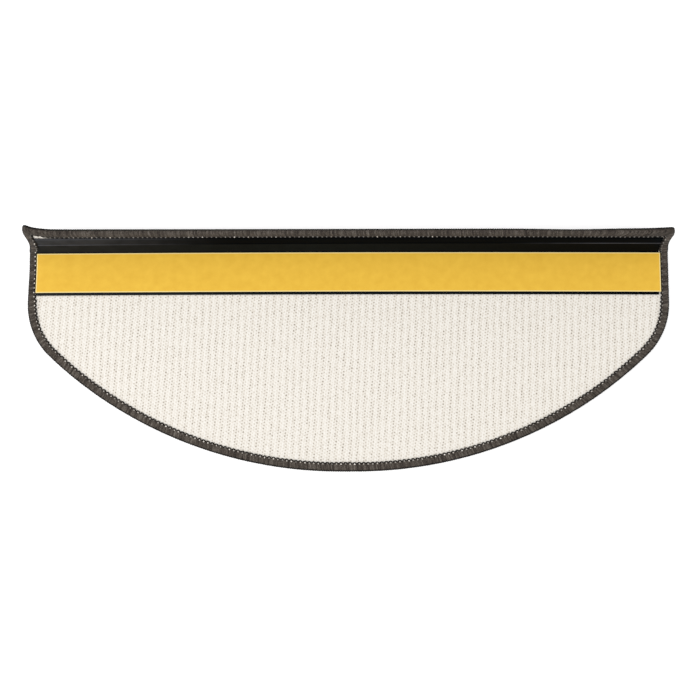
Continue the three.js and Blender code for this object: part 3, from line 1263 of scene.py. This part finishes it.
@dataclass(frozen=True)
class PaintedEdgeShade:
    """Where painted shade darkens the binding's yarn: along the outer edge and on the flap's inner face.
    Depths are measured in from the mat's outer edge.
    """

    facing_nose: Span = (0.2, 0.9)  # outline's turn to the nose over which the flap's painted shade comes in
    tread_from: Span = (3.2 * MM, 4.8 * MM)  # heights over which the tread's dark line comes in
    tread_to: Span = (6.3 * MM, 6.6 * MM)  # and goes out
    flap_to: Span = (1.9 * MM, 3.6 * MM)  # heights over which the flap's dark line goes out
    flap_depth: Span = (1.2 * MM, 2.4 * MM)  # depths over which it does
    inner: float = 0.14  # painted shade on the flap's inner face
    inner_more: float = 0.16  # how much more it is past each of these depths
    inner_depths: tuple[Span, ...] = ((1.0 * MM, 3.0 * MM), (4.0 * MM, 5.5 * MM))
    inner_from: Span = (4.0 * MM, 6.0 * MM)  # heights over which that comes in

    def at(self, outward: float, h: float, on_flap: float, on_rim: bool) -> float:
        """Works out how much painted shade a place gets.

        Args:
            outward: how far out from the outline it is.
            h: its height above the pile's face.
            on_flap: 1 on the flap's edge and 0 on the tread.
            on_rim: whether it is on the edge's round.

        Returns:
            The painted shade, from 0 to 1.
        """
        on_tread = window(h, self.tread_from, self.tread_to) if on_rim else 0.0
        line = (1 - smooth_step(h, *self.flap_to)) * (1 - smooth_step(-outward, *self.flap_depth))
        further_in = sum(smooth_step(-outward, *depths) for depths in self.inner_depths)
        inner = self.inner + self.inner_more * further_in * smooth_step(h, *self.inner_from)
        return min(1.0, on_tread * (1 - on_flap) + max(line, inner) * on_flap)


@dataclass
class Binding:
    """Overlocked yarn round the edge: wraps, the thread that scallops their ends, coloured near black as
    painted shade along that edge, and its knots.
    """

    form: MatForm
    stitch: float = 4.6 * MM
    yarn: float = 0.74 * MM  # radius of a strand, pressed by its neighbours
    rounding: float = 1.9 * MM  # round of the edge, to the outside of the yarn
    dive: float = 0.8 * MM  # radius of the turn down into the carpet
    dive_inset: float = 0.3 * MM  # how far that turn stays inside the binding's width
    wraps_each: int = 2  # wraps to a stitch
    flatness: float = 1.8  # a strand is this much wider along the edge than it is thick
    scallop: tuple[tuple[float, float], ...] = (  # outward in millimetres, and share of the yarn's height
        (-7.5, 1.0), (-8.5, 0.7), (-9.0, 0.5), (-9.1, 0.4), (-9.0, 0.5), (-8.5, 0.7), (-7.5, 1.0),
    )
    thread: float = 0.55 * MM
    knot_place: float = -7.4 * MM
    knot: float = 0.72 * MM
    sides: int = 6
    slant: float = 0.16  # sideways lean of the wraps, for each unit outward
    corner_slant: float = -0.8  # the same near the flap's right corner, where they lean the other way
    corner_span: Span = (0.11, 0.05)  # where that comes in, from the right side
    strip_width: float = 0.84  # share of the binding's width left beside the strip's left end
    strip_from: Span = (-0.050, -0.042)  # where that comes in, from the fold
    strip_to: Span = (0.004, 0.012)  # and goes out
    right_share: float = 1 / 3  # how much of it shows beside the strip's right end
    bare_width: float = 0.74  # the same at the flap's left end, where the backing shows
    bare_near: Span = (0.014, 0.025)  # most of that goes out here, from the side
    bare_far: Span = (0.025, 0.12)  # and the rest here
    bare_share: float = 0.75  # how much goes out at the nearer place
    bare_power: int = 6  # how soon it goes out round the corner
    thinning: float = 1.2 * MM  # how much thinner the flap's edge is than the tread's
    thin_from: Span = (0.012, 0.04)  # where that comes in, from the side
    hollow: float = 1.0 * MM  # how much more it is where the flap's edge sinks in
    hollow_place: float = 0.225
    hollow_reach: float = 0.04
    lift: float = 1.5 * MM  # how far the yarn stands up over the profile's ends
    lift_from: Span = (4.5 * MM, 7.0 * MM)  # where that comes in, from the outer edge
    ruffle_pitch: tuple[float, float, float] = (2.2 * MM, 9 * MM, 9 * MM)  # ruffles along, outward and up
    ruffle: tuple[float, float, float] = (0.35 * MM, 0.25 * MM, 0.16 * MM)  # how far yarn strays each way
    calm_from: float = -4 * MM  # further out than this, it strays less outward
    calm: float = 0.5  # share of that straying that is left there
    swell_pitch: float = 14 * MM  # along the edge, from thicker to thinner yarn
    swell: float = 0.12 * MM
    flat_weld: float = 0.02 * MM  # points nearer than this become one while the yarn is flat
    weld: float = 0.004 * MM  # the same once it is in place
    sunk: Span = (0.15, 1.1)  # depths over which painted shade darkens a hollow, in the yarn's radius
    hollow_shade: float = 0.7  # how much darker the painted shade makes it
    edge_shade_strength: float = 0.92  # how much darker the yarn is where the painted edge shade is strongest
    # painted shade along the outer edge and on the flap's inner face
    edge_shade: PaintedEdgeShade = PaintedEdgeShade()
    knot_tones: KnotTones = KnotTones()
    wrap_finish: YarnFinish = YarnFinish(
        "overlocked_binding_yarn", "262220", "534B44", "7F7870",
        tone_pitch=1.9, tone_length=16.0, tone_share=0.7,
    )
    # painted shade: the thread's near-black colours stand for the shade along the binding's inner edge
    thread_finish: YarnFinish = YarnFinish("binding_looper_thread", "120F0D", "1F1A16", "352E28")
    knot_finish: YarnFinish = YarnFinish("binding_needle_knots", "8F8880", "D2CBC2", "F2EDE6")

    @cached_property
    def count(self) -> int:
        """Number of stitches round the mat."""
        return round(2 * self.form.half_outline / self.stitch)

    @cached_property
    def pitch(self) -> float:
        """Length of one stitch, so that a whole number goes round."""
        return 2 * self.form.half_outline / self.count

    def build(self) -> list[bpy.types.Object]:
        """Makes the wraps, the thread and the knots.

        Returns:
            The three pieces.
        """
        wraps = self.finished("binding_wraps", self.wrap(), self.wrap_finish, self.shade, self.wraps_each)
        thread = self.finished("binding_thread", self.looper_thread(), self.thread_finish, self.shade)
        knots = self.finished("binding_knots", self.needle_knot(), self.knot_finish, self.knot_shade)
        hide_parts("edge_binding")
        return [wraps, thread, knots]

    def finished(
        self, name: str, mesh: bmesh.types.BMesh, finish: YarnFinish, shade: Callable[[Vector], float],
        each: int = 1,
    ) -> bpy.types.Object:
        """Carries one item round the mat and makes it a piece.

        Args:
            name: the piece's name.
            mesh: one item, in flat coordinates.
            finish: its yarn.
            shade: its tone at a flat place.
            each: how many there are to a stitch.

        Returns:
            The piece.
        """
        repeat(mesh, self.count * each, Vector((self.pitch / each, 0, 0)))
        bmesh.ops.remove_doubles(mesh, verts=mesh.verts, dist=self.flat_weld)
        return finish_piece(name, mesh, finish.material(), Slot.YARN, self.place, shade, self.weld)

    def wrap(self) -> bmesh.types.BMesh:
        """Makes one strand, a C round the edge, in flat coordinates.

        Returns:
            The mesh that holds it.
        """
        mesh = bmesh.new()
        top = self.form.binding_top
        back = Vector((-1, 0, 0))
        tip = self.yarn + self.dive + self.dive_inset - self.form.binding_width
        high = top - self.yarn - self.dive
        strand = Strand(mesh, self.yarn, self.sides, Vector((0, tip - self.dive, high)), Vector((0, 0, 1)))
        strand.turn(Vector((0, tip, high)), back, math.pi / 2, 2)
        strand.run(Vector((0, -self.rounding - tip, 0)), 2)
        strand.turn(Vector((0, -self.rounding, top - self.rounding)), back, math.pi / 2, 3)
        strand.run(Vector((0, 0, 2 * self.rounding - top)), 3)
        strand.turn(Vector((0, -self.rounding, self.rounding)), back, math.pi / 2, 3)
        strand.run(Vector((0, tip + self.rounding, 0)))
        strand.close()
        bmesh.ops.scale(mesh, verts=mesh.verts, vec=(self.flatness, 1, 1))
        bmesh.ops.translate(mesh, verts=mesh.verts, vec=(self.pitch / self.wraps_each / 2, 0, 0))
        return mesh

    def looper_thread(self) -> bmesh.types.BMesh:
        """Makes one scallop of the thread that holds the wraps' ends, coloured near black as painted shade.

        Returns:
            The mesh that holds it.
        """
        mesh = bmesh.new()
        low, high = self.form.backing_top, self.form.binding_top
        places = [
            Vector((self.pitch * i / (len(self.scallop) - 1), outward * MM, low + (high - low) * share))
            for i, (outward, share) in enumerate(self.scallop)
        ]
        strand = Strand(mesh, self.thread, self.sides, places[0], Vector((1, 0, 0)))
        for here, ahead in zip(places, places[1:]):
            strand.run(ahead - here)
        return mesh

    def needle_knot(self) -> bmesh.types.BMesh:
        """Makes the pale knot inside one scallop.

        Returns:
            The mesh that holds it.
        """
        mesh = bmesh.new()
        middle = Vector((self.pitch / 2, self.knot_place, self.form.binding_top))
        bmesh.ops.create_icosphere(mesh, subdivisions=2, radius=self.knot, matrix=Matrix.Translation(middle))
        return mesh

    def slant_at(self, x: float, s: float) -> float:
        """Works out how the wraps lean: the other way along the flap's right end.

        Args:
            x: place across the mat.
            s: place along the mat.

        Returns:
            The sideways lean for each unit outward.
        """
        on_flap = smooth_step(s, self.form.fold_length, self.form.flap_end)
        far, near = self.corner_span
        near_corner = smooth_step(x, self.form.half_width - far, self.form.half_width - near)
        return self.slant + (self.corner_slant - self.slant) * on_flap * near_corner

    def width_at(self, x: float, s: float, out_s: float) -> float:
        """Share of the binding's width at a place on the outline.

        Args:
            x: place across the mat.
            s: place along the mat.
            out_s: how far the outline faces the nose, from -1 to 1.

        Returns:
            The share.
        """
        inset = self.form.half_width - abs(x)
        beside = (1 - self.strip_width) * window(s, self.strip_from, self.strip_to) * (1 - abs(out_s))
        if x > 0:
            return 1 - self.right_share * beside
        bare = 1 - self.bare_share * smooth_step(inset, *self.bare_near)
        bare -= (1 - self.bare_share) * smooth_step(inset, *self.bare_far)
        return 1 - beside - (1 - self.bare_width) * max(0.0, out_s) ** self.bare_power * bare

    def place(self, flat: Vector) -> Vector:
        """Leans, ruffles, narrows and carries a point of the binding to its place on the mat.

        Args:
            flat: the place in flat coordinates.

        Returns:
            The place in the model's frame.
        """
        form = self.form
        t, outward, h = flat
        x, s, out_x, out_s = form.edge(t)
        upper = h > form.binding_top / 2
        ruffle = noise.noise_vector(Vector([place / pitch for place, pitch in zip(flat, self.ruffle_pitch)]))
        stray_along, stray_out, stray_up = (part * size for part, size in zip(ruffle, self.ruffle))
        lean = self.slant_at(x, s) * (outward + self.rounding) * (1 if upper else -1)
        outward *= self.width_at(x, s, out_s)
        outward += stray_out * (1 if outward < self.calm_from else self.calm)
        raised = stray_up + self.swell * line_noise(t / self.swell_pitch, row=3.1)
        h += raised if upper else abs(raised)
        on_flap = smooth_step(s, form.fold_length, form.flap_end - form.corner_radius)
        inset = form.half_width - abs(x)
        dip = math.exp(-(((x - self.hollow_place) / self.hollow_reach) ** 2))
        middle = 1 - (x / form.half_width) ** 2
        thinner = (self.thinning * middle + self.hollow * dip) * smooth_step(inset, *self.thin_from)
        h += thinner * on_flap * (1 - h / form.binding_top)
        up = max(0.0, min(1.0, (s - form.fold_length) / form.flap_length))
        over_end = max(0.0, math.sin(math.pi * up / form.pinch_top)) * abs(out_x)
        h += self.lift * over_end * smooth_step(-outward, *self.lift_from) * upper
        return form.bound(t + lean + stray_along, outward, h)

    def knot_shade(self, flat: Vector) -> float:
        """Tone of the knots: pale round the tread, palest beside the strip's left end, dull on the flap."""
        x, s, _, _ = self.form.edge(flat.x)
        return self.knot_tones.at(x, s, math.floor(flat.x / self.pitch))

    def shade(self, flat: Vector) -> float:
        """Paints shade into the hollows between strands, and along the outer edge and the flap's inner face.

        Args:
            flat: the place in flat coordinates.

        Returns:
            How much of the yarn's colour is left.
        """
        t, outward, h = flat
        _, s, _, out_s = self.form.edge(t)
        top = self.form.binding_top
        on_rim = outward >= -self.rounding
        depth = min(top - h, h, -outward)
        if on_rim:
            centre_h = min(max(h, self.rounding), top - self.rounding)
            depth = self.rounding - math.hypot(outward + self.rounding, h - centre_h)
            depth = min(depth, -outward) if centre_h == h else depth
        # painted shade in the hollows between strands
        sunk = smooth_step(depth / self.yarn, *self.sunk)
        on_flap = smooth_step(out_s, *self.edge_shade.facing_nose) if s > self.form.fold_length else 0.0
        # painted shade along the outer edge and on the flap's inner face
        edge_shaded = self.edge_shade.at(outward, h, on_flap, on_rim)
        return (1 - self.hollow_shade * sunk) * (1 - self.edge_shade_strength * edge_shaded)


@dataclass
class AngleProfile:
    """The black plastic angle along the nose, with the bead on its upright leg."""

    form: MatForm
    flat_leg: float = 42.7 * MM
    end_gap: float = 0.4 * MM
    left_reach: float = 1.2 * MM  # how much further it reaches at the left, under the yarn
    right_trim: float = 1.0 * MM  # how much it is short of the yarn at the right, where the flap is drawn in
    bead_place: float = 17.3 * MM
    bead_tilt: float = 0.0033  # how much further up the leg it runs for each unit to the right
    bead_width: float = 1.4 * MM
    bead_height: float = 0.5 * MM
    edge_break: float = 0.35 * MM
    fold_steps: int = 10
    corner_angle: float = math.radians(60)  # corners sharper than this are broken
    parts: int = 16  # that it is cut into across, so that it can bow with the nose

    def build(self) -> bpy.types.Object:
        """Makes the profile: its section from one leg's end to the other's, then its length.

        Returns:
            The piece.
        """
        form = self.form
        half = form.half_width - form.binding_width - self.end_gap
        right = half - self.right_trim
        length = half + self.left_reach + right
        low, high = form.backing_top, form.backing_top + form.profile_wall
        y = form.nose_line - form.layer_shift
        up = Vector((0, math.cos(form.fold_angle), math.sin(form.fold_angle)))
        inward = Vector((0, -math.sin(form.fold_angle), math.cos(form.fold_angle)))
        mesh = bmesh.new()
        ends = [mesh.verts.new((right - length, y - self.flat_leg, z)) for z in (low, high)]
        edge = grown(mesh, [mesh.edges.new(ends)], Vector((0, self.flat_leg, 0)))[0]
        spun = bmesh.ops.spin(
            mesh, geom=[edge], cent=(0, y, form.fold_radius), axis=(1, 0, 0), angle=form.fold_angle,
            steps=self.fold_steps, use_duplicate=False,
        )["geom_last"]
        edge = next(item for item in spun if isinstance(item, bmesh.types.BMEdge))
        fold_end = min(vert.co.dot(up) for vert in edge.verts)
        for along, stand in (
            (self.bead_place - self.bead_width / 2, 0.0),
            (self.bead_width / 4, self.bead_height),
            (self.bead_width / 2, 0.0),
            (self.bead_width / 4, -self.bead_height),
            (form.upright_leg - self.bead_place - self.bead_width / 2, 0.0),
        ):
            edge = grown(mesh, [edge], up * along)[0]
            inner = max(edge.verts, key=lambda vert: vert.co.dot(inward))
            inner.co += inward * stand
        thickened(mesh, list(mesh.faces), Vector((length, 0, 0)))
        bmesh.ops.recalc_face_normals(mesh, faces=mesh.faces)
        sharp = [corner for corner in mesh.edges if corner.calc_face_angle(0) > self.corner_angle]
        bmesh.ops.bevel(
            mesh, geom=sharp, offset=self.edge_break, affect="EDGES", segments=2, profile=0.5, material=-1
        )
        self.divide(mesh, 2 * half)
        low_bead = fold_end + self.bead_place - self.bead_width
        tilt = up * self.bead_tilt

        def place(flat: Vector) -> Vector:
            """Tilts the bead, and bows the profile with the nose."""
            on_bead = low_bead < flat.dot(up) < low_bead + 2 * self.bead_width
            return form.settled(flat + tilt * flat.x if on_bead else flat)

        finish = ProfileFinish(
            up=up, bead_at=(fold_end + self.bead_place) / MM, rim_at=(fold_end + form.upright_leg) / MM,
            half_length=half / MM,
        )
        piece = finish_piece("nose_profile", mesh, finish.material(), Slot.PROFILE, place)
        piece.data.set_sharp_from_angle(angle=SHARP_ANGLE)
        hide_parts("angle_profile")
        return piece

    def divide(self, mesh: bmesh.types.BMesh, length: float) -> None:
        """Cuts the profile across.

        Args:
            mesh: its mesh.
            length: the length that the cuts share out, from its middle.
        """
        for index in range(1, self.parts):
            bmesh.ops.bisect_plane(
                mesh, geom=[*mesh.verts, *mesh.edges, *mesh.faces], dist=0.001 * MM,
                plane_co=(length * (index / self.parts - 0.5), 0, 0), plane_no=(1, 0, 0),
            )


@dataclass
class AdhesiveStrip:
    """The tape on the profile's flat leg and the yellow liner over it."""

    form: MatForm
    tape_finish: TapeFinish = field(default_factory=TapeFinish)
    across_cells: int = 8
    cell: float = 5.0 * MM
    wave: float = 0.12 * MM  # how far the liner lifts off the tape between bonds
    wave_pitch: float = 70 * MM
    sag: float = 0.5 * MM  # how far its left end droops
    sag_reach: float = 2.0 * MM  # over how much of its length
    trim: float = 0.12 * MM  # how much of the liner's margin is cut away on each side

    def build(self) -> None:
        """Makes the tape and the liner."""
        low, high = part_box("release_liner")
        liner = LinerFinish(width=high.y - low.y - 2 * self.trim, length=high.x - low.x)
        self.strip("adhesive_tape", "tape_strip", self.tape_finish.material(), Slot.TAPE)
        self.strip("release_liner", "liner_strip", liner.material(), Slot.LINER, self.trim, loose=1.0)

    def strip(
        self, node: str, name: str, material: bpy.types.Material, slot: Slot, trim: float = 0.0,
        loose: float = 0.0,
    ) -> None:
        """Makes a thin strip in the place of a packed one.

        Args:
            node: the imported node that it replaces.
            name: its name.
            material: its material.
            slot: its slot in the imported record.
            trim: how much narrower it is on each side.
            loose: how much of the wave and droop it takes.
        """
        low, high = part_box(node)
        size, middle = high - low - Vector((0, 2 * trim, 0)), (low + high) / 2
        mesh = bmesh.new()
        bmesh.ops.create_grid(
            mesh, x_segments=round(size.x / self.cell), y_segments=self.across_cells, size=0.5
        )
        bmesh.ops.scale(mesh, verts=mesh.verts, vec=(size.x, size.y, 1))
        thickened(mesh, list(mesh.faces), Vector((0, 0, size.z)))
        base = Vector((middle.x, middle.y, low.z))

        def place(flat: Vector) -> Vector:
            """Lays the strip on the profile, and lifts it where it is loose."""
            return self.form.settled(flat + base + Vector((0, 0, self.lifted(flat, size) * loose)))

        piece = finish_piece(name, mesh, material, slot, place)
        piece.data.set_sharp_from_angle(angle=SHARP_ANGLE)
        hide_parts(node)

    def lifted(self, flat: Vector, size: Vector) -> float:
        """How far the liner lifts in slow waves, or droops at the end past the tape."""
        wave = abs(noise.noise(Vector((flat.x / self.wave_pitch, flat.y / self.wave_pitch, 0)))) * self.wave
        return wave - self.sag * smooth_step(-flat.x - size.x / 2, -self.sag_reach, 0.0)


@dataclass
class Studio:
    """White light table, soft light, and the camera high in front of the rounded edge."""

    distance: float = 1.5
    target: tuple[float, float, float] = (-0.00053, 0.00369, 0.004)
    elevation: float = math.radians(82.9)
    roll: float = math.radians(0.12)
    sensor: float = 36.0
    focal_pixels: float = 1483.7
    picture: int = 696
    floor_half: float = 3.0
    floor_drop: float = 0.2 * MM
    sky: float = 0.70
    clip: Span = (0.05, 20.0)
    softboxes: tuple[tuple[str, tuple[float, float, float], float, float], ...] = (
        ("key_softbox", (-1.15, -0.35, 1.45), 1.1, 12.0),
        ("fill_softbox", (1.2, -0.5, 1.6), 1.2, 4.5),
    )  # name, place, side and watts

    def build(self) -> None:
        """Makes the floor, lights and camera."""
        self.add_floor()
        self.add_sky()
        for softbox in self.softboxes:
            self.add_softbox(*softbox)
        self.add_camera()

    def add_floor(self) -> None:
        """Makes the table that the mat lies on."""
        mesh = bmesh.new()
        bmesh.ops.create_grid(mesh, x_segments=1, y_segments=1, size=self.floor_half)
        bmesh.ops.translate(mesh, verts=mesh.verts, vec=(0, 0, -self.floor_drop))
        floor = mesh_object("studio_floor", mesh, FloorFinish().material())
        floor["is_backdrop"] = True

    def add_sky(self) -> None:
        """Lights the scene evenly from all round."""
        world = bpy.data.worlds.new("studio_sky")
        world.use_nodes = True
        world.node_tree.nodes.clear()
        sky = add_node(world.node_tree, "Background", {"Color": linear("FFFFFF"), "Strength": self.sky})
        add_node(world.node_tree, "OutputWorld", {"Surface": sky})
        bpy.context.scene.world = world

    def add_softbox(self, name: str, place: tuple[float, float, float], size: float, power: float) -> None:
        """Adds a square softbox that faces the mat.

        Args:
            name: its name.
            place: where it stands.
            size: its side.
            power: its power in watts.
        """
        light = bpy.data.lights.new(name, "AREA")
        light.size = size
        light.energy = power
        softbox = add_object(name, light)
        softbox.location = place
        softbox.rotation_euler = (-Vector(place)).to_track_quat("-Z", "Y").to_euler()

    def add_camera(self) -> None:
        """Puts the camera where it looked down on the mat, with the picture's field of view."""
        camera = bpy.data.cameras.new("studio_camera")
        camera.sensor_width = self.sensor
        camera.lens = self.focal_pixels / self.picture * self.sensor
        camera.clip_start, camera.clip_end = self.clip
        ahead = Vector((0, math.cos(self.elevation), -math.sin(self.elevation)))
        holder = add_object("studio_camera", camera)
        turn = ahead.to_track_quat("-Z", "Y").to_matrix().to_4x4() @ Matrix.Rotation(-self.roll, 4, "Z")
        holder.matrix_world = Matrix.Translation(Vector(self.target) - ahead * self.distance) @ turn
        bpy.context.scene.camera = holder
        bpy.context.scene.view_settings.view_transform = "Standard"


def build_mat() -> None:
    """Builds every piece of the mat."""
    form = MatForm(nose_line=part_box("edge_binding")[0].y + MatForm.tread_depth)
    pile = Pile(form).build()
    binding = Binding(form).build()
    backing, area = Backing(form).build()
    AngleProfile(form).build()
    AdhesiveStrip(form).build()


def main() -> None:
    """Builds the studio and the mat."""
    logging.basicConfig(level=logging.INFO, format="%(message)s")
    noise.seed_set(SEED)
    cad_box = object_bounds()
    Studio().build()
    build_mat()
    boxes = {"cad": cad_box, "visual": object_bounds()}
    {name: [list(corner) for corner in box] for name, box in boxes.items()}


if __name__ == "__main__":
    main()
